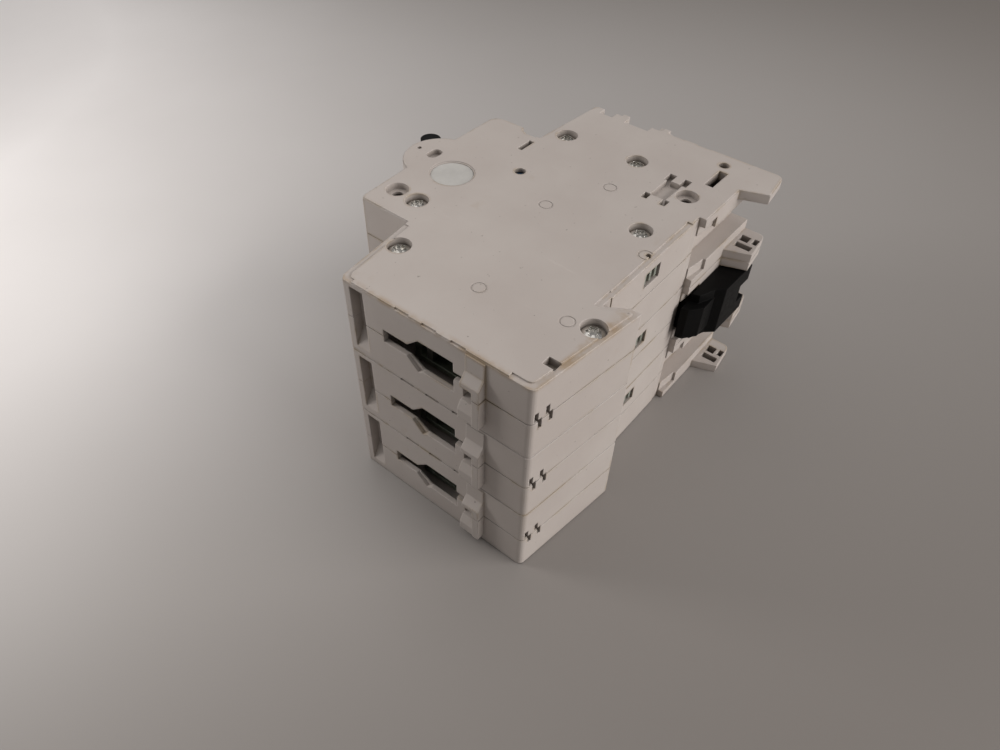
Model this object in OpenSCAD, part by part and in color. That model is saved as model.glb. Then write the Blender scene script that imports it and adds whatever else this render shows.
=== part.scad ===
// Three-pole miniature circuit breaker for a 35 mm top-hat rail.
// The poles are stacked along Z and pole 1 is the upper one. X runs from terminal end to terminal end,
// Y is the depth: the nose with the toggles points to -Y, the rail recess opens to +Y.
// Inside the modules Y is counted from the plane on which the rail rests.

/* [Poles] */
// Width of one pole
pole_w = 17.5; // [17.2:0.1:18]
// Thickness of the moulded side walls
wall = 2; // [1.6:0.1:2.2]
// Depth of the fine seam grooves round each half shell
seam = 0.15; // [0.05:0.05:0.3]

/* [Side profile] */
// Half the distance between the two terminal faces
half_len = 42.3; // [42:0.1:43.5]
// Depth of the shoulder in front of the rail plane, beside the nose
shoulder_y = 43.3; // [43:0.1:44.2]
// How much the shoulder falls back towards the terminal end
shoulder_fall = 2.4; // [0:0.1:3]
// Depth of the nose's flat front
nose_y = 57.2; // [57:0.1:58]
// Half the width of the nose
nose_half = 22.1; // [21.9:0.1:22.4]
// Radius of the cheeks beside the toggle
cheek_r = 8.3; // [8.1:0.1:8.6]
// Height of the hooked lip behind the rail plane
lip_y = 6.3; // [5.6:0.1:6.8]
// Height of the feet behind the rail plane
foot_y = 7.3; // [6.9:0.1:7.8]

/* [Rail recess] */
// Width of the recess for the rail
rail_recess = 35; // [35:0.1:35.8]
// Depth of the undercut below the hooked lip
lip_hook = 2.3; // [1.8:0.1:2.6]

/* [Toggle] */
// Swing of the toggles from OFF to ON, in degrees
swing = 72; // [60:1:74]
// Radius of the toggle's drum
drum_r = 9.7; // [9.4:0.1:9.8]
// Length of the toggle's lever from its axis
lever_len = 26; // [23:0.5:27]
// Distance of the tie rod from the toggles' axis
tie_r = 17; // [16.8:0.1:18]
// Width of the toggle along Z
toggle_w = 8; // [7:0.2:8.4]
// Radius of the crank pin's circle
crank_r = 4.6; // [4.5:0.1:4.7]
// Radius of the couplers' discs
coupler_r = 4.55; // [4.3:0.05:4.8]

/* [Contact arm] */
// Swing of the contact arm, in degrees
arm_swing = 26; // [22:1:27]
// Distance from the crank pin to the arm's slot
link_len = 17; // [16.6:0.1:17.2]
// Radius of the link's wire
link_r = 0.7; // [0.5:0.05:0.75]
// Thickness of the contact arm
arm_t = 3; // [2:0.2:3.4]
// Length of the arm from its pivot to the contact
arm_len = 14; // [13:0.1:14.4]

/* [Trip] */
// Radius of the trip bar
trip_bar_r = 1.5; // [1.2:0.1:1.8]
// Thickness of the trip levers
trip_t = 1.6; // [1.2:0.1:1.8]
// Travel of the plunger
plunger_travel = 2.5; // [1.5:0.1:2.6]
// Radius of the plunger
plunger_r = 2.5; // [2.2:0.1:2.6]
// Radius of the coil's wire
coil_wire_r = 1.05; // [0.9:0.05:1.1]
// Turns of the coil
coil_turns = 5; // [4:1:5]
// Thickness of the bimetal
bimetal_t = 1.2; // [0.8:0.1:1.3]

/* [Arc chute] */
// Number of steel plates
plate_count = 9; // [7:1:9]
// Distance from plate to plate
plate_pitch = 1.9; // [1.6:0.1:2]
// Thickness of a plate
plate_t = 0.8; // [0.6:0.1:1]

/* [Terminals] */
// Distance of the terminal screws from the terminal faces
terminal_in = 7.3; // [7.1:0.1:7.5]
// Thread radius of the terminal screws
screw_r = 2.5; // [2:0.05:2.5]
// Radius of the screw's head
screw_head_r = 3.3; // [3.2:0.05:3.5]
// Radius of the screwdriver's hole
access_r = 3.1; // [2.8:0.05:3.15]
// Clear width inside the cage clamp
cage_in = 8.2; // [7.4:0.1:8.6]
// Thickness of the cage clamp's metal
cage_t = 1.2; // [1:0.1:1.3]
// Length of the cage clamp along X
cage_len = 7; // [6:0.1:7]
// Rise of the cage clamp
cage_rise = 6; // [4:0.1:6]
// Thickness of the copper straps
strap_t = 1.4; // [1:0.1:1.5]

/* [Rail clip] */
// Travel of the rail clip
clip_travel = 4; // [3:0.1:4.5]
// Width of the clip's plate along Z
clip_w = 12.6; // [12:0.1:12.8]

/* [Case screws] */
// Radius of the case screws
case_screw_r = 1.5; // [1.2:0.05:1.6]
// Radius of the wells round the screw heads
well_r = 2.45; // [2.35:0.05:2.6]

/* [Hidden] */
poles = [1, 2, 3];
ends = ["line", "load"];
$fn = 48;

// Clearances
eps = 0.01;
fit = 0.05;
loose = 0.3;

// Heights inside one pole
mid = pole_w / 2;
floor_z = wall;
roof_z = pole_w - wall;
stack_h = len(poles) * pole_w;
chute_half = mid - wall - 0.35;

// Axes of the mechanism
handle_at = [3.2, -48.3];
lever_rest = -swing / 2;
crank_rest = handle_at + crank_r * [sin(swing / 2), cos(swing / 2)];
crank_mid = handle_at + [0, crank_r];
arm_at = [crank_mid[0] - link_len, -32.2];
slot_near = arm_at[1] - crank_mid[1];
slot_far = (arm_at[1] - crank_rest[1]) / cos(arm_swing / 2);
trip_at = [-6.9, -37.9];

// Depth of the part and its middle, so that the origin lies below the middle of the box
tip_r = 2.4;
front_y = handle_at[1] - (lever_len - tip_r) * cos(swing / 2) - tip_r;
frame_y = -(front_y + foot_y) / 2;

// Case screws, as places on the side wall, and the two wells that stay empty
screw_places = [[28.7, -39.1], [15.5, -46.9], [-26.1, -39.2], [-27, -21.1], [-5.4, -6.8], [24.1, 2.1]];
empty_wells = [[15.2, -52.7], [-21.9, -5.8]];
boss_r = well_r;
head_deep = 1.7;

// Terminals
terminal_x = half_len - terminal_in;
cage_x = cage_len / 2;
strap_y = -22;
cage_front = -26.6;
cage_back = -12.5;
seat_y = -34.4;
head_len = 3;
seat_t = 1.5;
inner_end = terminal_x + cage_x + 0.4;
face_t = 1.1;

// Rail clip's channel
far_step = 18 - rail_recess;
channel_half = 4.25;
channel_floor = -2.8;
foot_t = 2.2;
foot_x = -31.4;
ledge_y = 1.4;

// Flat on which the rail rests, relieved under the lip and under the clip's tongue
relief = 0.15;
seat_near = 15.2;
seat_far = far_step + 2.4;

// Middle of the cheeks
cheek_at = [0, -54.4];

function arc(c, r, from, to, steps) = [for (i = [0:steps]) let (a = from + (to - from) * i / steps) c + r * [cos(a), sin(a)]];

function cheek(n, r) = let (drop = sqrt(r * r - pow(n + cheek_at[1], 2)), a = atan2(n + cheek_at[1], drop))
    arc(cheek_at, r, 180 + a, 360 - a, 12);

// Side profile of the housing, drawn in by d on every side
function profile(d) = let (
    e = half_len - d, s = shoulder_y - d, t = shoulder_y - shoulder_fall - d, n = nose_y - d, w = nose_half - d)
    concat(
        arc([e - 1.2, 2 - d], 1.2, 0, 80, 4),
        [[15.6 + d, lip_y - d], [15.6 + d, lip_y - lip_hook + d / 2], [18 + d, 0.3], [18 + d, -relief - d],
         [seat_near - d, -relief - d], [seat_near - d, -d], [seat_far + d, -d], [seat_far + d, -relief - d],
         [far_step + d, -relief - d], [far_step + d, ledge_y - d], [foot_x + d, ledge_y - d], [foot_x - 2.3 + d, foot_y - d]],
        arc([-e + 1.5, foot_y - 2.3 - d], 1.5, 100, 180, 4),
        [[-e, -t - 0.6], [-e + 0.8, -t - 1.2], [-21 + d, -s], [-21 + d, -48.2 + d], [-w - 0.3, -48.8 + d]],
        arc([-w + 2.4, -n + 2.6], 2.6, 180, 262, 4),
        cheek(n, cheek_r - d),
        [[w - 1, -n + 0.7], [w - 0.2, -n + 1.2], [w, -s], [e - 1, -t], [e, -t + 0.8]]
    );

module at_pole(n) translate([0, frame_y, (len(poles) - n) * pole_w]) children();
module upright(p) translate([p[0], p[1], 0]) children();
module mirrored(side) scale_x(side == "line" ? 1 : -1) children();
module scale_x(s) if (s > 0) children(); else mirror([1, 0, 0]) children();
module slab(z0, z1) translate([0, 0, z0]) linear_extrude(z1 - z0) children();
module along_y(x, y0, y1, z, r) translate([x, y0, z]) rotate([-90, 0, 0]) cylinder(h = y1 - y0, r = r);
module along_x(x0, x1, y, z, r) translate([x0, y, z]) rotate([0, 90, 0]) cylinder(h = x1 - x0, r = r);
module block(a, b) translate(a) cube(b - a);

// Hollow of one pole, the same in both half shells: thin behind the line end's openings
function hollow_outline() = let (n = nose_y - wall, w = nose_half - wall, thin = half_len - face_t)
    concat(
        [[thin, 1.2], [20.2, 3.6], [20.2, -wall], [far_step + wall, -wall], [far_step + wall, channel_floor - wall],
         [-inner_end, channel_floor - wall], [-inner_end, -39.6], [wall - 21, wall - shoulder_y], [wall - 21, -48.2 + wall],
         [-w, -48.8 + wall], [-w, -n + 1.4], [-w + 1.4, -n]],
        cheek(n, cheek_r - wall),
        [[w - 1, -n + 0.7], [w, -n + 1.2], [w, wall - shoulder_y], [inner_end, -39], [inner_end, seat_y + seat_t],
         [thin, seat_y + seat_t]]
    );

// Openings of one terminal face, as (y, z) with z from the pole's middle
module terminal_opening() {
    polygon([[-30.7, -1.35], [-30.7, 1.65], [-24.7, 1.65], [-22, 4.05], [-13.8, 4.05], [-13.8, 1.9], [-8.6, 1.9],
             [-8.6, -2.75], [-11.6, -2.75], [-11.6, 0], [-13.8, 0], [-13.8, -3.2], [-21.5, -3.2], [-24.7, -1.35]]);
}

// Funnel cut in the face beside the wire's opening
module terminal_funnel() {
    polygon([[-25.2, -1.2], [-22.4, -3.9], [-20.6, -2.9], [-20.6, -1], [-24.7, -1]]);
}

// What is cut out of a terminal end: wire and busbar openings, marker groove, notches and screw passages
module terminal_cuts() {
    translate([inner_end - 1, 0, mid]) rotate([90, 0, 90]) linear_extrude(20) terminal_opening();
    translate([half_len - 0.7, 0, mid]) rotate([90, 0, 90]) linear_extrude(20) terminal_funnel();
    // Marker groove with a sloping end
    translate([0, -35.2, 0]) rotate([90, 0, 0]) linear_extrude(3.4)
        polygon([[half_len - 2.2, 5.4], [half_len - 2.2, pole_w - 1.2], [half_len + 5, pole_w - 1.2],
                 [half_len + 5, 1.6], [half_len, 1.6]]);
    // Shallow notches along the upper edge
    for (y = [-27.3, -21, -14.4]) block([half_len - 0.4, y, pole_w - 0.4], [half_len + 9, y + 3.3, pole_w + 1]);
    along_y(terminal_x, -60, -38, mid, access_r);
    along_y(terminal_x, seat_y - 1, seat_y + 9, mid, screw_r + 0.25);
}

// Hood over the busbar opening, standing out of the terminal face
hood = 1.9;
module terminal_hood() {
    translate([half_len - 1, -6.6, mid]) rotate([90, 0, 0]) linear_extrude(4.2)
        polygon([[0, 8.2], [1.3, 8.2], [1.4, 4.6], [1 + hood, 2.9], [1 + hood, 1.9], [0, 1.9]]);
    block([half_len - 1, -8.2, mid - 6.6], [half_len + hood, -6.6, mid + 3]);
    translate([half_len - 1, -8.2, mid]) rotate([90, 0, 0]) linear_extrude(3.4)
        polygon([[0, -2.75], [1 + hood * 0.4, -2.75], [1 + hood * 0.9, -4.4], [1 + hood * 0.9, -6.6], [0, -6.6]]);
}

// Seat that carries the terminal screw's head, and its side walls
module terminal_seat() {
    block([terminal_x - cage_x - 0.6, seat_y, floor_z - 0.5], [inner_end + 0.5, seat_y + seat_t, roof_z + 0.5]);
}

// Notches that reach the side face at the load end, and the nubs between them
far_in = 39.9;
module load_end_cuts() {
    block([-60, -39.6, 5], [-far_in, -36.2, pole_w + 1]);
    block([-60, -32.6, 1.2], [-far_in, -26.4, pole_w + 1]);
}
module load_end_nubs() {
    block([-half_len - 1.7, -24.8, 10.5], [-half_len + 1, -22.4, pole_w]);
    block([-half_len - 1.2, -34.9, 10.5], [-half_len + 1, -33.2, pole_w]);
}

// Opening in the nose's front through which the toggle swings
module toggle_slot() {
    upright(handle_at) slab(mid - toggle_w / 2 - loose, mid + toggle_w / 2 + loose) {
        circle(r = drum_r + 0.25);
        polygon(concat([[0, 0]], arc([0, 0], 20, -90 - swing / 2 - 17, -90 + swing / 2 + 17, 8)));
    }
}

// Whole housing of one pole before it is parted into its two half shells
module housing() {
    difference() {
        union() {
            slab(0, pole_w) polygon(profile(0));
            for (side = ends) mirrored(side) terminal_hood();
            load_end_nubs();
        }
        difference() {
            slab(floor_z, roof_z) polygon(hollow_outline());
            for (p = screw_places) upright(p) cylinder(h = pole_w, r = boss_r);
            for (side = ends) mirrored(side) terminal_seat();
        }
        for (side = ends) mirrored(side) terminal_cuts();
        toggle_slot();
        for (p = screw_places) upright(p) translate([0, 0, -1]) cylinder(h = pole_w + 2, r = case_screw_r + fit);
        upright(handle_at) translate([0, 0, -1]) cylinder(h = pole_w + 2, r = coupler_r + fit);
        // Rail clip's channel between the feet, and the ledges that guide the clip
        block([-60, channel_floor, mid - channel_half], [far_step + 0.01, 30, mid + channel_half]);
        block([-60, ledge_y - eps, foot_t], [foot_x + 3, 30, pole_w - foot_t]);
        // Ramps on the ledges, inside the side walls
        for (z = [floor_z, roof_z - 2.6]) slab(z, z + 2.6)
            polygon([[far_step + 1, -0.01], [far_step + 1, 3], [-22.4, 3], [-22.4, 0.8]]);
        load_end_cuts();
        // Window over the arc plates, in the floor of the recess
        block([-2.4, -wall - 1, mid + 2.8], [3.2, 1, mid + 6.2]);
        // Two Z-shaped vents on the parting line
        for (x = [37, 39.7]) {
            block([x, 0, mid - 1.9], [x + 0.9, 10, mid + 0.5]);
            block([x + 0.9 - eps, 0, mid + 0.1], [x + 1.8, 10, mid + 2.4]);
        }
    }
}

// Fine groove along an edge of a half shell
module seam_band(z0, z1) {
    slab(z0, z1) difference() {
        square(200, center = true);
        polygon(profile(seam));
    }
}

module trip_bore(low, high) upright(trip_at) translate([0, 0, low]) cylinder(h = high - low, r = trip_bar_r + fit);

// Lower half shell of a pole
module base_shell(n) {
    last = n == len(poles);
    color("lightgray") at_pole(n) {
        difference() {
            union() {
                intersection() {
                    housing();
                    slab(-1, mid) square(200, center = true);
                }
                // Pivot of the contact arm, with the spring's spool
                upright(arm_at) translate([0, 0, floor_z - 0.5]) cylinder(h = mid - arm_t / 2 - 0.2 - floor_z + 0.5, r = 2.2);
                upright(arm_at) translate([0, 0, floor_z]) cylinder(h = mid + arm_t / 2 + 1 - floor_z, r = 1.6);
            }
            seam_band(-1, 0.25);
            seam_band(mid - 0.12, mid + 1);
            trip_bore(last ? floor_z - 1 : -1, mid);
            if (last) {
                for (p = screw_places) upright(p) translate([0, 0, -1]) cylinder(h = 1 + head_deep, r = well_r);
                upright(handle_at) translate([0, 0, -1]) cylinder(h = 1.4, r = coupler_r + 0.6);
            }
            // Latch pockets through the foot
            block([-36.2, 2.4, -1], [-34.4, 6.2, foot_t + 1]);
            block([-39.4, 2.2, -1], [-37.1, 4.4, foot_t + 1]);
            block([-39.6, 5.2, -1], [-37.4, 6.4, foot_t + 1]);
        }
    }
}

// Upper half shell of a pole
module cover_shell(n) {
    first = n == 1;
    color("gainsboro") at_pole(n) difference() {
        intersection() {
            housing();
            slab(mid, pole_w + 1) square(200, center = true);
        }
        seam_band(pole_w - 0.25, pole_w + 1);
        seam_band(mid - 1, mid + 0.12);
        trip_bore(mid, first ? roof_z + 1 : pole_w + 1);
        if (first) cover_face();
    }
}

// Recesses in the outer face of the upper cover
module cover_face() {
    for (p = screw_places) upright(p) translate([0, 0, pole_w - head_deep]) cylinder(h = 5, r = well_r);
    for (p = empty_wells) upright(p) {
        translate([0, 0, pole_w - 1.4]) cylinder(h = 5, r = well_r);
        translate([0, 0, roof_z - 1]) cylinder(h = 5, r = 1.2);
    }
    // Hole over the trip bar, and a small one near the recess
    upright(trip_at) translate([0, 0, roof_z - 1]) cylinder(h = 5, r = 1.25);
    translate([0.6, -1.5, roof_z + 0.3]) cylinder(h = 5, r = 0.55);
    // Shallow ring round the coupler
    upright(handle_at) translate([0, 0, pole_w - 0.15]) cylinder(h = 1, r = coupler_r + 0.4);
    // Oval and round recesses of the cheek
    slab(pole_w - 1.2, pole_w + 1) {
        translate([-0.9, -56.5]) circle(r = 1.3);
        translate([0.3, -56.5]) circle(r = 1.3);
        translate([-0.3, -56.5]) square([1.2, 2.6], center = true);
        translate([0, -60.7]) circle(r = 0.5);
    }
    // Latch slots round the nose's inner corner
    slab(pole_w - 1.6, pole_w + 1) {
        translate([-18.6, -44.2]) square([4.6, 1.2]);
        translate([-24, -47.2]) square([3.6, 3.2]);
    }
    // Cross-shaped recess, slot and small round recess near the foot
    slab(pole_w - 1.3, pole_w + 1) {
        translate([-24.8, -12.2]) square([7.2, 3.6]);
        translate([-27.4, -9.3]) square([2.8, 1.6]);
        translate([-27.4, -12.9]) square([2.8, 1.6]);
        translate([-17.8, -9]) square([2.2, 1.4]);
        translate([-17.8, -13.3]) square([2.2, 1.4]);
    }
    translate([-38, -5.7, pole_w - 1.3]) cylinder(h = 3, r = 1.2);
    block([-35.4, -5.4, pole_w - 4], [-28.4, -3.4, pole_w + 1]);
    // Square test hole and small round marks
    block([34.5, 0.4, pole_w - 1.7], [36.5, 2.8, pole_w + 1]);
    for (p = [[28.6, -19.6], [-0.3, -26.2], [25.7, -2.3], [-14.2, -19.8], [0.9, -1.9]])
        upright(p) translate([0, 0, pole_w - 0.1]) difference() {
            cylinder(h = 1, r = 1.5);
            translate([0, 0, -1]) cylinder(h = 3, r = 1.2);
        }
    // Step along the back edge
    slab(pole_w - 0.3, pole_w + 1) difference() {
        union() {
            translate([-14, -2]) square([60, 12]);
            translate([23, -46]) square([30, 8]);
        }
        polygon(profile(1.1));
    }
}

// Long screws through all poles, with domed heads in the wells
module case_screws() {
    z0 = head_deep + 0.2;
    z1 = stack_h - head_deep;
    color("silver") translate([0, frame_y, 0]) for (p = screw_places) upright(p) difference() {
        union() {
            translate([0, 0, z0 - 1]) cylinder(h = z1 - z0 + 1, r = case_screw_r);
            translate([0, 0, z1]) intersection() {
                cylinder(h = 1.1, r = well_r - 0.3);
                translate([0, 0, -2.4]) sphere(r = 3.5);
            }
        }
        translate([0, 0, z1 + 0.6]) cylinder(h = 2, r = 0.9);
        for (a = [0, 60, 120]) translate([0, 0, z1 + 0.4]) rotate([0, 0, a]) block([-1.35, -0.3, 0], [1.35, 0.3, 2]);
    }
}

// Round nuts at the lower ends of the case screws
module case_nuts() {
    color("silver") translate([0, frame_y, 0]) for (p = screw_places) upright(p) difference() {
        translate([0, 0, 0.4]) cylinder(h = head_deep - 0.4, r = well_r - 0.15);
        translate([0, 0, -1]) cylinder(h = 5, r = case_screw_r + 0.02);
        for (a = [0, 90]) rotate([0, 0, a]) block([-9, -0.4, 0], [9, 0.4, 0.7]);
    }
}

// Toggle: drum, lever and crank, drawn with the lever along -Y
module toggle(n) {
    color("#202020") at_pole(n) upright(handle_at) rotate([0, 0, lever_rest]) difference() {
        slab(mid - toggle_w / 2, mid + toggle_w / 2) {
            circle(r = 6.2);
            // Lever
            polygon([[-2.9, -drum_r + 1], [-tip_r, -lever_len + tip_r], [tip_r, -lever_len + tip_r], [2.9, -drum_r + 1]]);
            translate([0, -lever_len + tip_r]) circle(r = tip_r);
            polygon([[-1.6, 0], [-1.6, -drum_r + 1], [1.6, -drum_r + 1], [1.6, 0]]);
            // Drum wall that keeps the slot closed
            difference() {
                circle(r = drum_r);
                circle(r = drum_r - 1.4);
                rotate(90) polygon(concat([[0, 0]], arc([0, 0], 20, -87, 87, 8)));
            }
            // Spokes
            for (a = [-88, 88]) rotate(a) translate([-0.8, -drum_r + 0.5]) square([1.6, drum_r - 1]);
        }
        translate([0, 0, mid]) cube([stub + 0.08, stub + 0.08, 20], center = true);
        translate([0, crank_r, 0]) cylinder(h = pole_w, r = link_r + fit);
        translate([0, -tie_r, 0]) cylinder(h = pole_w, r = 1.03);
    }
}

// Discs that key neighbouring toggles together, with round collars and square stubs
collar_h = mid - wall - toggle_w / 2;
collar_r = 2.6;
stub = 5;
stub_deep = toggle_w / 2 - 0.25;
module coupler_pin(z, up) {
    translate([0, 0, z - (up ? 0.5 : collar_h - 0.1)]) cylinder(h = collar_h + 0.4, r = collar_r);
    translate([-stub / 2, -stub / 2, up ? z + collar_h - 0.15 : z - collar_h - stub_deep]) cube([stub, stub, stub_deep + 0.15]);
}
module handle_couplers() {
    color("#9aa3a6") translate([handle_at[0], handle_at[1] + frame_y, 0]) rotate([0, 0, lever_rest]) {
        for (k = [0:len(poles)]) {
            z0 = k == 0 ? 0.6 : k * pole_w - wall;
            z1 = k == len(poles) ? stack_h - 0.3 : k * pole_w + wall;
            translate([0, 0, z0]) cylinder(h = z1 - z0, r = coupler_r);
            if (k > 0) coupler_pin(z0, false);
            if (k < len(poles)) coupler_pin(z1, true);
        }
    }
}

// Steel rod through the three toggles
module handle_tie_rod() {
    color("silver") translate([0, frame_y, 0]) upright(handle_at) rotate([0, 0, lever_rest])
        translate([0, -tie_r, mid - toggle_w / 2 + 0.5]) cylinder(h = stack_h - 2 * mid + toggle_w - 1, r = 1);
}

// Close-wound coil of wire as a scalloped ring
module wound(r, wire, turns, pitch) {
    rotate_extrude($fn = 32) union() {
        for (i = [0:turns - 1]) translate([r, wire + i * pitch]) circle(r = wire, $fn = 16);
        translate([r - wire * 0.35, wire]) square([wire * 0.7, (turns - 1) * pitch]);
    }
}

// Springs that throw the toggles back to OFF
module toggle_springs() {
    color("#8c8c8c") for (n = poles) at_pole(n) upright(handle_at) {
        translate([0, 0, mid - toggle_w / 2 - 2.5]) wound(3.6, 0.38, 3, 0.76);
        translate([-3.55, 0.2, mid - toggle_w / 2 - 2.12]) rotate([-90, 0, 12]) cylinder(h = 6.4, r = 0.3, $fn = 16);
    }
}

// Wire link from the crank to the arm's slot
module link(n) {
    z = mid + toggle_w / 2 + 0.2 + link_r;
    color("silver") at_pole(n) translate([crank_rest[0], crank_rest[1], 0]) {
        along_x(-link_len, 0, 0, z, link_r);
        for (x = [-link_len, 0]) translate([x, 0, z]) sphere(r = link_r);
        translate([0, 0, mid - 3.4]) cylinder(h = z - mid + 3.4, r = link_r);
        translate([-link_len, 0, mid - arm_t / 2 - 0.6]) cylinder(h = z - mid + arm_t / 2 + 0.6, r = link_r);
    }
}

// Moving contact arm, drawn upright over its pivot, with the slot for the link above
module contact_arm(n) {
    slot_half = link_r + 0.26;
    color("#b87333") at_pole(n) upright(arm_at) rotate([0, 0, arm_swing / 2]) difference() {
        union() {
            slab(mid - arm_t / 2, mid + arm_t / 2)
                polygon([[-1.7, -slot_far - 1.5], [1.7, -slot_far - 1.5], [2.2, 0], [1.4, arm_len - 1.5],
                         [2.1, arm_len - 1.5], [2.1, arm_len + 1.5], [-1.1, arm_len + 1.6], [-2.2, 0]]);
            translate([0, 0, mid - arm_t / 2]) cylinder(h = arm_t, r = 3);
        }
        cylinder(h = pole_w, r = 1.65);
        translate([0, -slot_near + 0.1, 0]) cylinder(h = pole_w, r = slot_half);
        translate([0, -slot_far - 0.1, 0]) cylinder(h = pole_w, r = slot_half);
        block([-slot_half, -slot_far - 0.1, 0], [slot_half, -slot_near + 0.1, pole_w]);
    }
}

// Torsion springs under the contact arms
module contact_springs() {
    color("#8c8c8c") for (n = poles) at_pole(n) upright(arm_at) {
        translate([0, 0, floor_z + 0.3]) wound(2.95, 0.5, 3, 1);
        translate([2.9, 0, floor_z + 0.8]) rotate([-90, 0, 0]) cylinder(h = 7, r = 0.4, $fn = 16);
        translate([-2.9, 0, floor_z + 2.8]) rotate([-90, 0, 0]) cylinder(h = 8, r = 0.4, $fn = 16);
    }
}

// Trip lever: hub on the trip bar, one arm to the bimetal and one to the plunger
tab_x = 9.4;
hook_x = -22.8;
module trip_lever(n) {
    low = floor_z + 0.4;
    color("#3b5b7a") at_pole(n) difference() {
        union() {
            slab(low, low + trip_t) {
                upright(trip_at) circle(r = 3);
                // Arm that bends round the contact spring and hooks behind the bimetal
                polygon([[trip_at[0], trip_at[1] - 1.3], [-21, -39.2], [hook_x - 1.4, -34.6], [hook_x - 1.4, -32],
                         [hook_x, -32], [hook_x, -34], [-20.2, -36.9], [trip_at[0], trip_at[1] + 1.4]]);
                // Arm to the plunger
                polygon([[trip_at[0], trip_at[1] - 2.4], [0, -38], [tab_x, -32], [tab_x, -26], [tab_x - 1.4, -26],
                         [-4, -35.4], [trip_at[0], trip_at[1] + 2.4]]);
            }
            block([hook_x - 1.4, -34.4, low], [hook_x, -32, mid + 2]);
            block([tab_x - 1.4, -31, low], [tab_x, -26, mid + 2]);
            upright(trip_at) translate([0, 0, low]) cylinder(h = 4.4, r = 2.6);
        }
        upright(trip_at) translate([0, 0, -1]) cylinder(h = pole_w, r = trip_bar_r + 0.02);
    }
}

// Common bar through the three trip levers
module trip_bar() {
    color("#3b5b7a") translate([trip_at[0], trip_at[1] + frame_y, floor_z - 0.8])
        cylinder(h = stack_h - 2 * floor_z + 1.6, r = trip_bar_r);
}

// Fixed contact with its arc runner
module fixed_contact(n) {
    half = 3;
    color("#b87333") at_pole(n) {
        difference() {
            union() {
                slab(mid - half, mid + half) {
                    translate([-6.9, -20.9]) square([23.9, 1.3]);
                    translate([-6.9, -20.9]) square([1.4, 7.3]);
                    translate([-6.9, -14.8]) square([22.9, 1.2]);
                    translate([14.8, -14.8]) square([1.2, 11.6]);
                }
                // Contact pad, square to the closed arm
                translate([arm_at[0], arm_at[1], mid]) rotate([0, 0, -arm_swing / 2])
                    block([2.25, arm_len - 1.4, -2], [4.6, arm_len + 1.4, 2]);
            }
            // The pad stops inside the strip
            block([-5.5, -19.6, 0], [9, -14.8, pole_w]);
        }
    }
}

// Coil of the magnetic trip
coil_y = -28;
coil_x = 15.2;
bobbin_r = 3.5;
coil_r = bobbin_r + 0.1 + coil_wire_r;
coil_pitch = 2 * coil_wire_r - 0.02;
coil_end = coil_x + 2 * coil_wire_r + (coil_turns - 1) * coil_pitch;
module magnet_coil(n) {
    color("#c77b45") at_pole(n) {
        translate([coil_x, coil_y, mid]) rotate([0, 90, 0]) wound(coil_r, coil_wire_r, coil_turns, coil_pitch);
        along_x(coil_end - coil_wire_r, terminal_x - cage_x - 2.1, coil_y + coil_r, mid, coil_wire_r * 0.8);
        along_y(coil_x + coil_wire_r, coil_y + coil_r, -20.95, mid, coil_wire_r * 0.8);
    }
}

// Bobbins that carry the coils
module coil_bobbins() {
    color("#e8e0cc") for (n = poles) at_pole(n) difference() {
        union() {
            along_x(coil_x - 1.2, coil_end + 1.2, coil_y, mid, bobbin_r);
            along_x(coil_x - 1.2, coil_x - 0.1, coil_y, mid, coil_r + coil_wire_r - 0.1);
            along_x(coil_end + 0.1, coil_end + 1.2, coil_y, mid, coil_r + coil_wire_r - 0.1);
        }
        // Slot for the coil's end in the flange
        block([coil_end, coil_y + bobbin_r + 0.15, mid - coil_wire_r], [coil_end + 2, coil_y + 9, mid + coil_wire_r]);
        along_x(0, 60, coil_y, mid, plunger_r + fit);
    }
}

// Steel yokes with their fixed cores
yoke_t = 1.2;
yoke_near = coil_x - 1.4;
yoke_far = coil_end + 1.4;
module coil_yokes() {
    color("#6f7376") for (n = poles) at_pole(n) difference() {
        union() {
            slab(mid - 4.4, mid + 4.4) {
                translate([yoke_near - yoke_t, coil_y - 7.6]) square([yoke_t, 11.1]);
                translate([yoke_far, coil_y - 7.6]) square([yoke_t, 11.1]);
                translate([yoke_near - yoke_t, coil_y - 7.6]) square([yoke_far - yoke_near + 2 * yoke_t, yoke_t]);
            }
            along_x(yoke_near - eps, yoke_near + 3.8, coil_y, mid, plunger_r - 0.02);
        }
        along_x(0, 22, coil_y, mid, 1.05);
        along_x(24, 60, coil_y, mid, plunger_r + 0.1);
    }
}

// Plunger with its striking pin
module plunger(n) {
    body_at = yoke_near + 3.8 + plunger_travel + 0.3;
    color("silver") at_pole(n) {
        along_x(body_at, yoke_far + 1.6, coil_y, mid, plunger_r);
        along_x(tab_x + plunger_travel + 0.3, body_at + 1, coil_y, mid, 1);
    }
}

// Thermal trip: bimetal strip standing on its strap
bimetal_x = -22.4;
module bimetal(n) {
    color("#a89f8d") at_pole(n) slab(mid - 3, mid + 3)
        translate([bimetal_x, -39.2]) square([bimetal_t, 39.2 - 18.2]);
}

// Flexible copper braids between bimetal and arm
module braids() {
    color("#b06a3b") for (n = poles) at_pole(n) {
        left = bimetal_x + bimetal_t + 0.05 + 0.75;
        right = arm_at[0] - 3 - 0.3 - 0.75;
        translate([(left + right) / 2, -30.6, mid]) rotate([0, 0, 180])
            rotate_extrude(angle = 180) translate([(right - left) / 2, 0]) circle(r = 0.75, $fn = 24);
        along_y(left, -30.61, -27, mid, 0.75);
        along_y(right, -30.61, -28.6, mid, 0.75);
    }
}

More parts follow.
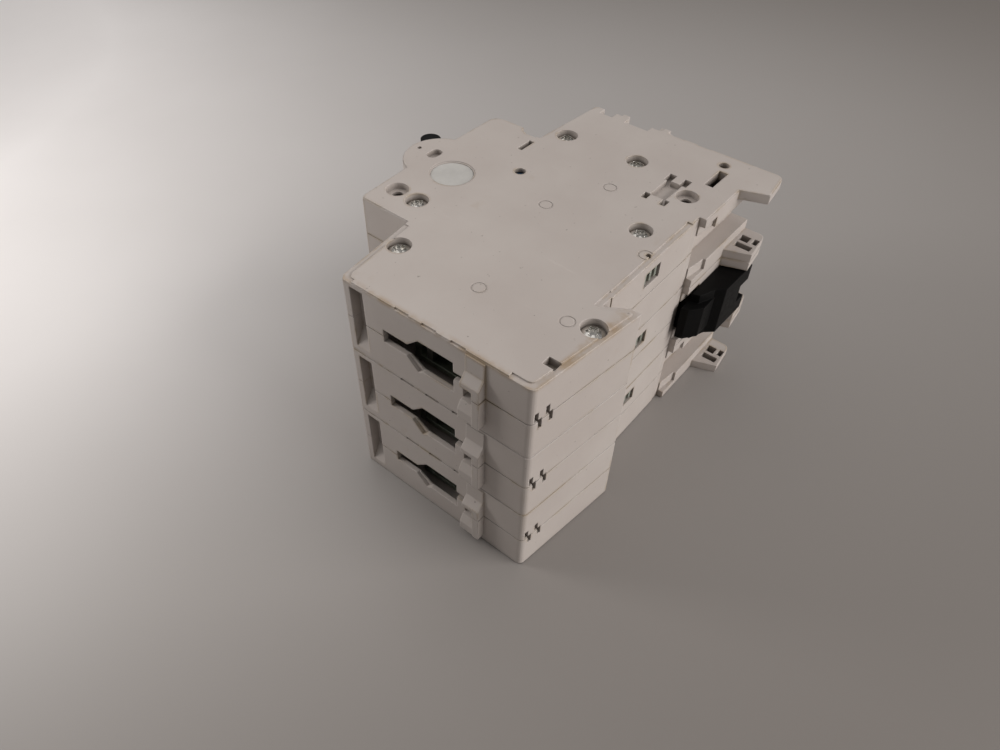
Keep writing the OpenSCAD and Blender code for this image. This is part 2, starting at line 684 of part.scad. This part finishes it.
// Stack of steel plates, each with a notched mouth
chute_x = -1.5;
module arc_plates(n) {
    w = chute_half - 1.1;
    color("#8d9296") at_pole(n) for (i = [0:plate_count - 1])
        translate([chute_x + i * plate_pitch - plate_t / 2, 0, mid]) rotate([90, 0, 90]) linear_extrude(plate_t)
            // The first three plates reach into the window of the recess
            polygon(concat([[-13, -w], [-13, -2.4], [-9, -0.5], [-9, 0.5], [-13, 2.4], [-13, w], [-2.4, w]],
                           i < 3 ? [[-0.4, w], [-0.4, 3.2], [-2.4, 3.2]] : [], [[-2.4, -w]]));
}

// Fibre side plates of the arc chutes
module arc_chute_frames() {
    last = chute_x + (plate_count - 1) * plate_pitch;
    color("#c9b48c") for (n = poles) at_pole(n) for (s = [-1, 1])
        translate([0, 0, mid + s * (chute_half - 0.5)]) block([chute_x - 0.9, -13.2, -0.5], [min(last + 0.9, 14.6), -2.3, 0.5]);
}

// Copper straps under the terminal screws
module strap(side) {
    edge = terminal_x - cage_x - 0.3;
    slab(mid - cage_in / 2 + 0.5, mid + cage_in / 2 - 0.5) translate([edge - 1, strap_y - strap_t])
        square([inner_end - edge + 0.8, strap_t]);
    if (side == "line") {
        slab(floor_z + 0.1, roof_z - 0.1) translate([edge - 1.6, -31]) square([strap_t, 31 + strap_y]);
    } else {
        slab(floor_z + 0.1, roof_z - 0.1) {
            translate([edge - 1.6, strap_y - strap_t]) square([strap_t, 5.2 + strap_t]);
            translate([-bimetal_x - bimetal_t, strap_y + 3.8]) square([edge - 0.4 + bimetal_x + bimetal_t, strap_t]);
        }
    }
}
module line_straps() color("#b87333") for (n = poles) at_pole(n) strap("line");
module load_straps() color("#b87333") for (n = poles) at_pole(n) mirror([1, 0, 0]) strap("load");

// Captive terminal screw with a cross recess
module terminal_screw(n, side) {
    color("#c8c8c0") at_pole(n) mirrored(side) difference() {
        union() {
            along_y(terminal_x, seat_y - head_len - 0.05, seat_y - 0.05, mid, screw_head_r);
            along_y(terminal_x, seat_y - 0.1, strap_y - strap_t - 0.2, mid, screw_r);
        }
        for (a = [0, 90]) translate([terminal_x, seat_y - head_len, mid]) rotate([0, a, 0])
            block([-2.2, -1, -0.45], [2.2, 1.6, 0.45]);
    }
}

// Cage clamp that climbs the terminal screw
module clamp(n, side) {
    color("#aeb0a0") at_pole(n) mirrored(side) difference() {
        block([terminal_x - cage_x, cage_front, mid - cage_in / 2 - cage_t],
              [terminal_x + cage_x, cage_back, mid + cage_in / 2 + cage_t]);
        block([terminal_x - 20, cage_front + 1.5, mid - cage_in / 2],
              [terminal_x + 20, cage_back - 1.4, mid + cage_in / 2]);
        along_y(terminal_x, cage_front - 1, cage_front + 2, mid, screw_r + fit);
    }
}

// Sliding rail clip of the middle pole
module din_clip() {
    color("#151515") at_pole(2) difference() {
        union() {
            slab(mid - channel_half + 0.12, mid + channel_half - 0.12)
                polygon([[-35, channel_floor + 0.1], [far_step - 1.2, channel_floor + 0.1], [far_step - 1.2, 1.3],
                         [far_step + 1.8, 1.3], [far_step + 1.4, 3], [far_step - 1.6, 5.2], [-35, 5.2]]);
            slab(mid - clip_w / 2, mid + clip_w / 2)
                polygon([[-37, ledge_y + 0.15], [far_step - 1.6, ledge_y + 0.15], [far_step - 2.2, 3.4], [-23.2, 5],
                         [-25, 6.9], [-37, 7.15]]);
        }
        // Notch for the screwdriver
        block([-40, 0, mid - 2.6], [-33.4, 20, mid + 2.2]);
    }
}

for (n = poles) {
    base_shell(n);
    cover_shell(n);
    toggle(n);
    link(n);
    contact_arm(n);
    trip_lever(n);
    fixed_contact(n);
    magnet_coil(n);
    plunger(n);
    bimetal(n);
    arc_plates(n);
    for (side = ends) {
        terminal_screw(n, side);
        clamp(n, side);
    }
}
case_screws();
case_nuts();
handle_couplers();
handle_tie_rod();
toggle_springs();
contact_springs();
trip_bar();
coil_bobbins();
coil_yokes();
braids();
arc_chute_frames();
line_straps();
load_straps();
din_clip();
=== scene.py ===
import bpy
from math import radians
from mathutils import Euler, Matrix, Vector


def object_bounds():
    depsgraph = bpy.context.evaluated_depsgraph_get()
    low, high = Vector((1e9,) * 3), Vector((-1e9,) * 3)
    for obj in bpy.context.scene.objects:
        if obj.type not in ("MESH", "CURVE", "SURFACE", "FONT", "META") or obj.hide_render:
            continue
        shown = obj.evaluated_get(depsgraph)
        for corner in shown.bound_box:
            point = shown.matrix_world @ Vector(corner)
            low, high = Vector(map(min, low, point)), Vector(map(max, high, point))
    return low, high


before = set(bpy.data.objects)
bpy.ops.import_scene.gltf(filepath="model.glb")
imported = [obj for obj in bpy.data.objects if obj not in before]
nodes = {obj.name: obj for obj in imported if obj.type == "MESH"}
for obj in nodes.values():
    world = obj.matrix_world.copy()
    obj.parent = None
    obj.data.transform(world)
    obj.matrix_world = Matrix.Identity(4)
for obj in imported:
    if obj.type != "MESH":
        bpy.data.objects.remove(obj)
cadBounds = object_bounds()
print("frame loaded:", len(nodes), "nodes")

mm = 0.001

# Sockets of a Mix node that mixes colours
mixShare = 0
mixUnder = 6
mixOver = 7
mixOut = 2


def linear(hexColor):
    out = []
    for i in (1, 3, 5):
        c = int(hexColor[i:i + 2], 16) / 255
        out.append(c / 12.92 if c <= 0.04045 else ((c + 0.055) / 1.055) ** 2.4)
    return (*out, 1.0)


def addNode(tree, kind, settings=None, links=None):
    node = tree.nodes.new(kind)
    for key, value in (settings or {}).items():
        if isinstance(key, int) or key in node.inputs:
            node.inputs[key].default_value = value
        else:
            setattr(node, key, value)
    for key, source in (links or {}).items():
        if isinstance(source, bpy.types.Node):
            source = source.outputs[0]
        tree.links.new(source, node.inputs[key])
    return node


def newMaterial(name):
    material = bpy.data.materials.new(name)
    material.use_nodes = True
    tree = material.node_tree
    tree.nodes.clear()
    place = addNode(tree, "ShaderNodeTexCoord").outputs["Object"]
    return material, tree, place


def addSurface(tree, settings, links):
    shader = addNode(tree, "ShaderNodeBsdfPrincipled", settings, links)
    addNode(tree, "ShaderNodeOutputMaterial", None, {"Surface": shader})


# A layer of another colour, as strong as amount where all its masks are 1
def layOver(tree, color, hexColor, amount, masks):
    share = masks[0]
    for mask in masks[1:]:
        share = addNode(tree, "ShaderNodeMath", {"operation": "MULTIPLY"}, {0: share, 1: mask})
    share = addNode(tree, "ShaderNodeMath", {"operation": "MULTIPLY", 1: amount}, {0: share})
    settings = {"data_type": "RGBA", mixOver: linear(hexColor)}
    links = {mixShare: share}
    if isinstance(color, str):
        settings[mixUnder] = linear(color)
    else:
        links[mixUnder] = color
    return addNode(tree, "ShaderNodeMix", settings, links).outputs[mixOut]


# Housing: glass-filled polyamide, injection moulded in a spark-eroded tool, handled and slightly yellowed.
# It looks matt and faintly grainy, with grooves darkened by dirt and painted shade, pale edges partly
# rubbed and partly a painted highlight, and brown marks from handling.

housingSet = {
    "baseHex": "#b8afa9",
    "paleHex": "#bfb7b1",
    "yellowHex": "#a08c6c",
    "brownHex": "#a18869",
    # Dark colour for the painted shade in hollows and for the dark specks
    "grimeAndShadeHex": "#51473d",
    # Pale edge colour, partly rubbed and partly a painted highlight
    "rubbedAndLitHex": "#ddd5cf",
    "scuffHex": "#d9d2cb",
    "ior": 1.53,
    "roughness": 0.46,
    "smoother": 0.05,
    "rougher": 0.1,
    "cloudMm": 22,
    "patchMm": 9.9,
    "yellowing": 0.7,
    "stainMm": 9,
    "staining": 0.3,
    # Brown marks, from none to full: how far inside the part's box, and where the back's marks start
    "lineEndInMm": (3.4, 2.0),
    "backInMm": (5.15, 4.15),
    "topInMm": (1.2, 0.3),
    "backStartMm": (15, 17),
    "handMm": 5,
    "hollowMm": 4.0,
    # Strength of the dirt and painted shade in the hollows
    "dirtAndShade": 0.62,
    "edgeMm": 0.32,
    "stainEdgeMm": 0.9,
    "rubbingAndHighlight": 0.5,
    "speckMm": 0.9,
    "specks": 0.45,
    "scuffMm": 3.0,
    "scuffStretch": (1.0, 0.12, 1.0),
    "scuffs": 0.22,
    "grainMm": 0.35,  # the real texture is 0.1 mm, drawn coarser so that it shows
    "grainDeepMm": 0.05,
}


def mouldedPolyamide(name, look):
    material, tree, place = newMaterial(name)
    clouds = addNode(tree, "ShaderNodeTexNoise",
                     {"Scale": 1 / (look["cloudMm"] * mm), "Detail": 4, "Roughness": 0.55},
                     {"Vector": place})
    cloudy = addNode(tree, "ShaderNodeMapRange", {"From Min": 0.35, "From Max": 0.68},
                     {"Value": clouds})
    color = layOver(tree, look["baseHex"], look["paleHex"], 1.0, [cloudy])
    # Two rounded normals, close and wide, differ from the flat one only near an edge
    flat = addNode(tree, "ShaderNodeNewGeometry").outputs["Normal"]
    soft = addNode(tree, "ShaderNodeBevel", {"samples": 6, "Radius": look["edgeMm"] * mm})
    facing = addNode(tree, "ShaderNodeVectorMath", {"operation": "DOT_PRODUCT"}, {0: soft, 1: flat})
    wide = addNode(tree, "ShaderNodeBevel", {"samples": 6, "Radius": look["stainEdgeMm"] * mm})
    near = addNode(tree, "ShaderNodeVectorMath", {"operation": "DOT_PRODUCT"}, {0: wide, 1: flat})
    # Old plastic yellows in patches along its edges
    patches = addNode(tree, "ShaderNodeTexNoise",
                      {"Scale": 1 / (look["patchMm"] * mm), "Detail": 5, "Roughness": 0.65},
                      {"Vector": place})
    patchy = addNode(tree, "ShaderNodeMapRange", {"From Min": 0.48, "From Max": 0.6},
                     {"Value": patches})
    nearEdge = addNode(tree, "ShaderNodeMapRange", {"From Min": 0.998, "From Max": 0.92},
                       {"Value": near.outputs["Value"]})
    color = layOver(tree, color, look["yellowHex"], look["yellowing"], [nearEdge, patchy])
    # A faint tan stain here and there
    stain = addNode(tree, "ShaderNodeTexNoise",
                    {"Scale": 1 / (look["stainMm"] * mm), "Detail": 5, "Roughness": 0.6},
                    {"Vector": place})
    stained = addNode(tree, "ShaderNodeMapRange", {"From Min": 0.66, "From Max": 0.82},
                      {"Value": stain})
    color = layOver(tree, color, look["yellowHex"], look["staining"], [stained])
    # Brown marks from handling along the upper edges of the line end
    axes = addNode(tree, "ShaderNodeSeparateXYZ", None, {"Vector": place}).outputs
    farCorner = cadBounds[1]
    reach = {}
    for index, (axis, span) in enumerate((("X", "lineEndInMm"), ("Y", "backInMm"), ("Z", "topInMm"))):
        low, high = (farCorner[index] - inside * mm for inside in look[span])
        reach[axis] = addNode(tree, "ShaderNodeMapRange", {"From Min": low, "From Max": high},
                              {"Value": axes[axis]})
    backStart, backFull = (start * mm for start in look["backStartMm"])
    backHalf = addNode(tree, "ShaderNodeMapRange", {"From Min": backStart, "From Max": backFull},
                       {"Value": axes["X"]})
    back = addNode(tree, "ShaderNodeMath", {"operation": "MULTIPLY"}, {0: reach["Y"], 1: backHalf})
    edges = addNode(tree, "ShaderNodeMath", {"operation": "MAXIMUM"}, {0: reach["X"], 1: back})
    hands = addNode(tree, "ShaderNodeTexNoise",
                    {"Scale": 1 / (look["handMm"] * mm), "Detail": 5, "Roughness": 0.65},
                    {"Vector": place})
    handled = addNode(tree, "ShaderNodeMapRange",
                      {"From Min": 0.44, "From Max": 0.62, "To Min": 0.1, "To Max": 0.7},
                      {"Value": hands})
    color = layOver(tree, color, look["brownHex"], 1.0, [edges, reach["Z"], handled])
    # Dirt and painted shade darken the grooves and corners, where less light reaches
    hollow = addNode(tree, "ShaderNodeAmbientOcclusion",
                     {"samples": 8, "Distance": look["hollowMm"] * mm}).outputs["AO"]
    deep = addNode(tree, "ShaderNodeMapRange", {"From Min": 0.6, "From Max": 0.22}, {"Value": hollow})
    uneven = addNode(tree, "ShaderNodeMapRange",
                     {"From Min": 0.3, "From Max": 0.6, "To Min": 0.7, "To Max": 1.0},
                     {"Value": patches})
    color = layOver(tree, color, look["grimeAndShadeHex"], look["dirtAndShade"], [deep, uneven])
    # Outer edges pale: partly rubbed by handling, partly a painted highlight where the edges catch the
    # light
    onEdge = addNode(tree, "ShaderNodeMapRange", {"From Min": 0.995, "From Max": 0.9},
                     {"Value": facing.outputs["Value"]})
    outside = addNode(tree, "ShaderNodeMapRange", {"From Min": 0.8, "From Max": 0.97},
                      {"Value": hollow})
    color = layOver(tree, color, look["rubbedAndLitHex"], look["rubbingAndHighlight"], [onEdge, outside])
    # Fine dark specks
    specks = addNode(tree, "ShaderNodeTexNoise",
                     {"Scale": 1 / (look["speckMm"] * mm), "Detail": 2, "Roughness": 0.5},
                     {"Vector": place})
    speckled = addNode(tree, "ShaderNodeMapRange", {"From Min": 0.735, "From Max": 0.76},
                       {"Value": specks})
    color = layOver(tree, color, look["grimeAndShadeHex"], look["specks"], [speckled])
    # Rubbed marks that run from front to back, paler and a little rougher
    across = addNode(tree, "ShaderNodeMapping", {"Scale": look["scuffStretch"]}, {"Vector": place})
    scuffs = addNode(tree, "ShaderNodeTexNoise",
                     {"Scale": 1 / (look["scuffMm"] * mm), "Detail": 6, "Roughness": 0.7},
                     {"Vector": across})
    scuffed = addNode(tree, "ShaderNodeMapRange", {"From Min": 0.66, "From Max": 0.74},
                      {"Value": scuffs})
    color = layOver(tree, color, look["scuffHex"], look["scuffs"], [scuffed])
    rough = addNode(tree, "ShaderNodeMapRange",
                    {"From Min": 0.3, "From Max": 0.75,
                     "To Min": look["roughness"] - look["smoother"],
                     "To Max": look["roughness"] + look["rougher"]},
                    {"Value": scuffs})
    # The fine grain of the spark-eroded tool
    grain = addNode(tree, "ShaderNodeTexNoise",
                    {"Scale": 1 / (look["grainMm"] * mm), "Detail": 2, "Roughness": 0.6},
                    {"Vector": place})
    bump = addNode(tree, "ShaderNodeBump", {"Strength": 0.16, "Distance": look["grainDeepMm"] * mm},
                   {"Height": grain, "Normal": soft})
    addSurface(tree, {"IOR": look["ior"]}, {"Base Color": color, "Roughness": rough, "Normal": bump})
    return material


# Small plastic parts: moulded polyamide or acetal, coloured through, with a little dust on them

smallPlastic = {
    # Black and dull: the index of refraction is lowered until they are as dark as the real ones
    "toggleBlackPolyamide": {"baseHex": "#070708", "paleHex": "#0d0d0e", "roughness": 0.4, "ior": 1.3,
                             "dust": 0.02, "grainMm": 0.4, "edgeMm": 0.25},
    "clipBlackPolyamide": {"baseHex": "#050505", "paleHex": "#0a0a0a", "roughness": 0.5, "ior": 1.2,
                           "dust": 0.015, "grainMm": 0.4, "edgeMm": 0.25},
    # Smooth and waxy, a cooler grey than the housing
    "couplerGreyAcetal": {"baseHex": "#b5b3af", "paleHex": "#c6c4c0", "roughness": 0.36, "ior": 1.5,
                          "dust": 0.12, "grainMm": 0.6, "edgeMm": 0.12},
    # Muted blue, a little glossy
    "tripBluePolyamide": {"baseHex": "#3d5570", "paleHex": "#4a6480", "roughness": 0.42, "ior": 1.5,
                          "dust": 0.12, "grainMm": 0.5, "edgeMm": 0.2},
    # Uncoloured, so a milky cream
    "bobbinNaturalPolyamide": {"baseHex": "#d8cfb6", "paleHex": "#e3dcc8", "roughness": 0.4, "ior": 1.5,
                               "dust": 0.12, "grainMm": 0.5, "edgeMm": 0.15},
}

plasticSet = {"dustHex": "#8c8681", "dustMm": 1.2, "cloudMm": 6, "grainDeepMm": 0.05,
              "smoother": 0.05, "rougher": 0.12}


def colouredPlastic(name, look):
    material, tree, place = newMaterial(name)
    clouds = addNode(tree, "ShaderNodeTexNoise",
                     {"Scale": 1 / (plasticSet["cloudMm"] * mm), "Detail": 4, "Roughness": 0.6},
                     {"Vector": place})
    cloudy = addNode(tree, "ShaderNodeMapRange", {"From Min": 0.35, "From Max": 0.7}, {"Value": clouds})
    color = layOver(tree, look["baseHex"], look["paleHex"], 1.0, [cloudy])
    dust = addNode(tree, "ShaderNodeTexNoise",
                   {"Scale": 1 / (plasticSet["dustMm"] * mm), "Detail": 5, "Roughness": 0.7},
                   {"Vector": place})
    dusty = addNode(tree, "ShaderNodeMapRange", {"From Min": 0.62, "From Max": 0.78}, {"Value": dust})
    color = layOver(tree, color, plasticSet["dustHex"], look["dust"], [dusty])
    rough = addNode(tree, "ShaderNodeMapRange",
                    {"From Min": 0.3, "From Max": 0.75,
                     "To Min": look["roughness"] - plasticSet["smoother"],
                     "To Max": look["roughness"] + plasticSet["rougher"]},
                    {"Value": dust})
    soft = addNode(tree, "ShaderNodeBevel", {"samples": 4, "Radius": look["edgeMm"] * mm})
    grain = addNode(tree, "ShaderNodeTexNoise",
                    {"Scale": 1 / (look["grainMm"] * mm), "Detail": 2, "Roughness": 0.5},
                    {"Vector": place})
    bump = addNode(tree, "ShaderNodeBump", {"Strength": 0.14, "Distance": plasticSet["grainDeepMm"] * mm},
                   {"Height": grain, "Normal": soft})
    addSurface(tree, {"IOR": look["ior"]}, {"Base Color": color, "Roughness": rough, "Normal": bump})
    return material


# Metals: rolled, drawn or plated, with faint marks from the rolls or the die and duller stains

metalLooks = {
    # Bright, smooth plating with clean reflections
    "nickelPlatedSteel": {"baseHex": "#d6d4d0", "stainHex": "#c4c1ba", "roughness": 0.27,
                          "grainMm": 1.2, "bump": 0.01},
    # Passivated zinc, a dull grey-green in the dark of the openings
    "yellowZincSteel": {"baseHex": "#a4aa9d", "stainHex": "#7c8272", "roughness": 0.42,
                        "grainMm": 2.0, "bump": 0.1},
    # Tin over copper, grey and soft
    "tinnedCopper": {"baseHex": "#8f8e87", "stainHex": "#6b6a62", "roughness": 0.4,
                     "grainMm": 1.5, "bump": 0.08},
    # Bare copper that has browned
    "rolledCopper": {"baseHex": "#b9724d", "stainHex": "#8d5136", "roughness": 0.34,
                     "grainMm": 1.5, "bump": 0.08},
    # Copper under clear enamel, redder and shinier
    "enamelledCopperWire": {"baseHex": "#b4633a", "stainHex": "#93492a", "roughness": 0.22,
                            "grainMm": 2.0, "bump": 0.04},
    # Matt pale zinc coat
    "galvanisedSteel": {"baseHex": "#c4c9bf", "stainHex": "#a3a89d", "roughness": 0.5,
                        "grainMm": 1.0, "bump": 0.1},
    # Uncoated steel, darker and slightly brown in its stains
    "coldRolledSteel": {"baseHex": "#8d9092", "stainHex": "#74716b", "roughness": 0.42,
                        "grainMm": 1.0, "bump": 0.12},
    # Two rolled alloys, straw coloured from heat
    "bimetalStrip": {"baseHex": "#a69c86", "stainHex": "#857a62", "roughness": 0.36,
                     "grainMm": 1.0, "bump": 0.1},
    # Drawn wire, dark and fairly smooth
    "springSteel": {"baseHex": "#8a8a88", "stainHex": "#6f6c66", "roughness": 0.3,
                    "grainMm": 1.0, "bump": 0.05},
}

drawnSet = {"stretch": (1.0, 0.15, 1.0), "deepMm": 0.05, "stainMm": 4, "staining": 0.8, "edgeMm": 0.12,
            "smoother": 0.06, "rougher": 0.12}


def sheetMetal(name, look):
    material, tree, place = newMaterial(name)
    stain = addNode(tree, "ShaderNodeTexNoise",
                    {"Scale": 1 / (drawnSet["stainMm"] * mm), "Detail": 5, "Roughness": 0.65},
                    {"Vector": place})
    stained = addNode(tree, "ShaderNodeMapRange", {"From Min": 0.42, "From Max": 0.68},
                      {"Value": stain})
    color = layOver(tree, look["baseHex"], look["stainHex"], drawnSet["staining"], [stained])
    along = addNode(tree, "ShaderNodeMapping", {"Scale": drawnSet["stretch"]}, {"Vector": place})
    drawn = addNode(tree, "ShaderNodeTexNoise",
                    {"Scale": 1 / (look["grainMm"] * mm), "Detail": 4, "Roughness": 0.6},
                    {"Vector": along})
    rough = addNode(tree, "ShaderNodeMapRange",
                    {"From Min": 0.25, "From Max": 0.75,
                     "To Min": look["roughness"] - drawnSet["smoother"],
                     "To Max": look["roughness"] + drawnSet["rougher"]},
                    {"Value": drawn})
    soft = addNode(tree, "ShaderNodeBevel", {"samples": 4, "Radius": drawnSet["edgeMm"] * mm})
    bump = addNode(tree, "ShaderNodeBump",
                   {"Strength": look["bump"], "Distance": drawnSet["deepMm"] * mm},
                   {"Height": drawn, "Normal": soft})
    addSurface(tree, {"Metallic": 1.0}, {"Base Color": color, "Roughness": rough, "Normal": bump})
    return material


# Arc chute side plates: vulcanised fibre, pressed sheet, matt and brown with darker flocks

fibreSet = {"baseHex": "#a58460", "flockHex": "#8a6a48", "roughness": 0.7,
            "flockMm": 0.8, "flockStretch": (1.0, 0.4, 1.0), "flockDeepMm": 0.08}


def pressedFibre(name, look):
    material, tree, place = newMaterial(name)
    along = addNode(tree, "ShaderNodeMapping", {"Scale": look["flockStretch"]}, {"Vector": place})
    flock = addNode(tree, "ShaderNodeTexNoise",
                    {"Scale": 1 / (look["flockMm"] * mm), "Detail": 5, "Roughness": 0.7},
                    {"Vector": along})
    flocked = addNode(tree, "ShaderNodeMapRange", {"From Min": 0.35, "From Max": 0.65},
                      {"Value": flock})
    color = layOver(tree, look["baseHex"], look["flockHex"], 1.0, [flocked])
    bump = addNode(tree, "ShaderNodeBump", {"Strength": 0.3, "Distance": look["flockDeepMm"] * mm},
                   {"Height": flock})
    addSurface(tree, {"Roughness": look["roughness"]}, {"Base Color": color, "Normal": bump})
    return material


materials = {"housingPolyamide": mouldedPolyamide("housingPolyamide", housingSet)}
for name, look in smallPlastic.items():
    materials[name] = colouredPlastic(name, look)
for name, look in metalLooks.items():
    materials[name] = sheetMetal(name, look)
materials["vulcanisedFibre"] = pressedFibre("vulcanisedFibre", fibreSet)
print("materials made:", len(materials))

# Which CAD node gets which finish, by the start of its name

finishOf = {
    "base_shell": "housingPolyamide",
    "cover_shell": "housingPolyamide",
    "toggle_springs": "springSteel",
    "contact_springs": "springSteel",
    "toggle": "toggleBlackPolyamide",
    "din_clip": "clipBlackPolyamide",
    "handle_couplers": "couplerGreyAcetal",
    "handle_tie_rod": "nickelPlatedSteel",
    "case_screws": "nickelPlatedSteel",
    "case_nuts": "nickelPlatedSteel",
    "link": "nickelPlatedSteel",
    "terminal_screw": "yellowZincSteel",
    "clamp": "yellowZincSteel",
    "contact_arm": "rolledCopper",
    "fixed_contact": "rolledCopper",
    "line_straps": "tinnedCopper",
    "load_straps": "tinnedCopper",
    "braids": "rolledCopper",
    "magnet_coil": "enamelledCopperWire",
    "trip_lever": "tripBluePolyamide",
    "trip_bar": "tripBluePolyamide",
    "coil_bobbins": "bobbinNaturalPolyamide",
    "coil_yokes": "coldRolledSteel",
    "plunger": "coldRolledSteel",
    "arc_plates": "galvanisedSteel",
    "bimetal": "bimetalStrip",
    "arc_chute_frames": "vulcanisedFibre",
}

for nodeName, part in nodes.items():
    finish = next(finishOf[start] for start in finishOf if nodeName.startswith(start))
    part.data.materials.clear()
    part.data.materials.append(materials[finish])
print("finishes set on", len(nodes), "CAD nodes")

# Floor: a sheet of satin board, grey, with bright pools of window light painted into its colour

floorSet = {
    "sizeM": 3.0,
    # Colour of the painted pools of light
    "paintedPoolHex": "#faf7f6",
    "darkHex": "#756f6a",
    "cloudHex": "#8d857e",
    # Painted pools of window light on the board: middle, reach and strength of each
    "paintedLightPools": [
        {"atM": (0.055, -0.088, 0.0), "reachM": 0.067, "gain": 0.31},
        {"atM": (0.075, -0.335, 0.0), "reachM": 0.203, "gain": 1.62},
        {"atM": (-0.142, -0.034, 0.0), "reachM": 0.161, "gain": 0.23},
    ],
    "cloudMm": 60,
    "cloudShare": 0.06,
    "roughness": 0.5,
    "grainMm": 2.5,
    "grainDeepMm": 0.05,
}


def satinBoard(look):
    material, tree, place = newMaterial("satinBoard")
    # Pools of light are painted into the board's colour, brighter near each middle
    light = None
    for pool in look["paintedLightPools"]:
        away = addNode(tree, "ShaderNodeVectorMath", {"operation": "DISTANCE", 1: pool["atM"]},
                       {0: place})
        ratio = addNode(tree, "ShaderNodeMath", {"operation": "DIVIDE", 1: pool["reachM"]},
                        {0: away.outputs["Value"]})
        square = addNode(tree, "ShaderNodeMath", {"operation": "POWER", 1: 2}, {0: ratio})
        fading = addNode(tree, "ShaderNodeMath", {"operation": "MULTIPLY", 1: -1}, {0: square})
        glow = addNode(tree, "ShaderNodeMath", {"operation": "EXPONENT"}, {0: fading})
        part = addNode(tree, "ShaderNodeMath", {"operation": "MULTIPLY", 1: pool["gain"]}, {0: glow})
        below = {1: light} if light else {}
        light = addNode(tree, "ShaderNodeMath", {"operation": "ADD", 1: 0}, {0: part, **below})
    bright = addNode(tree, "ShaderNodeMath", {"operation": "MINIMUM", 1: 1}, {0: light})
    color = layOver(tree, look["darkHex"], look["paintedPoolHex"], 1.0, [bright])
    clouds = addNode(tree, "ShaderNodeTexNoise",
                     {"Scale": 1 / (look["cloudMm"] * mm), "Detail": 3, "Roughness": 0.5},
                     {"Vector": place})
    cloudy = addNode(tree, "ShaderNodeMapRange", {"From Min": 0.3, "From Max": 0.7}, {"Value": clouds})
    color = layOver(tree, color, look["cloudHex"], look["cloudShare"], [cloudy])
    grain = addNode(tree, "ShaderNodeTexNoise",
                    {"Scale": 1 / (look["grainMm"] * mm), "Detail": 3, "Roughness": 0.6},
                    {"Vector": place})
    bump = addNode(tree, "ShaderNodeBump", {"Strength": 0.03, "Distance": look["grainDeepMm"] * mm},
                   {"Height": grain})
    addSurface(tree, {"Roughness": look["roughness"]}, {"Base Color": color, "Normal": bump})
    return material


bpy.ops.mesh.primitive_plane_add(size=floorSet["sizeM"], location=(0, 0, 0))
board = bpy.context.object
board.name = "floorBoard"
board.data.materials.append(satinBoard(floorSet))
print("floor placed")

# Lamps: a window, the ceiling and a small one near the line end

lightSet = {
    "keyPlace": (-0.35, 1.0, 0.47),
    "keySize": 0.9,
    "keyWatts": 12.5,
    "topPlace": (0.0, -0.35, 1.1),
    "topSize": 1.2,
    "topWatts": 4,
    "poolPlace": (0.13, -0.17, 0.135),
    "poolSize": 0.07,
    "poolTarget": (0.03, -0.06, 0.03),
    "poolWatts": 0.155,
    "lampHex": "#fffbf8",
    "airHex": "#f0eeed",
    "airStrength": 0.22,
}


def areaLamp(name, place, size, watts, target=(0, 0, 0)):
    data = bpy.data.lights.new(name, "AREA")
    data.shape = "SQUARE"
    data.size = size
    data.energy = watts
    data.color = linear(lightSet["lampHex"])[:3]
    lamp = bpy.data.objects.new(name, data)
    lamp.visible_camera = False
    lamp.location = place
    lamp.rotation_euler = (Vector(target) - Vector(place)).to_track_quat("-Z", "Y").to_euler()
    bpy.context.scene.collection.objects.link(lamp)


areaLamp("windowLamp", lightSet["keyPlace"], lightSet["keySize"], lightSet["keyWatts"])
areaLamp("ceilingLamp", lightSet["topPlace"], lightSet["topSize"], lightSet["topWatts"])
areaLamp("poolLamp", lightSet["poolPlace"], lightSet["poolSize"], lightSet["poolWatts"],
         lightSet["poolTarget"])

world = bpy.data.worlds.new("studioAir")
bpy.context.scene.world = world
world.use_nodes = True
air = world.node_tree.nodes["Background"]
air.inputs["Color"].default_value = linear(lightSet["airHex"])
air.inputs["Strength"].default_value = lightSet["airStrength"]
print("lamps placed")

# Camera: where the photograph was taken from, above the line end

viewSet = {
    "placeMm": (110.3, 79.85, 140.2),
    "turnDeg": (44.06, -1.32, 128.91),
    "lensMm": 27.72,
    "sensorMm": 36,
    "clipMm": 5,
}

cameraData = bpy.data.cameras.new("photoCamera")
cameraData.sensor_width = viewSet["sensorMm"]
cameraData.lens = viewSet["lensMm"]
cameraData.clip_start = viewSet["clipMm"] * mm
camera = bpy.data.objects.new("photoCamera", cameraData)
camera.location = [v * mm for v in viewSet["placeMm"]]
camera.rotation_euler = Euler([radians(a) for a in viewSet["turnDeg"]])
bpy.context.scene.collection.objects.link(camera)
bpy.context.scene.camera = camera
bpy.context.scene.view_settings.view_transform = "Standard"
print("camera placed")
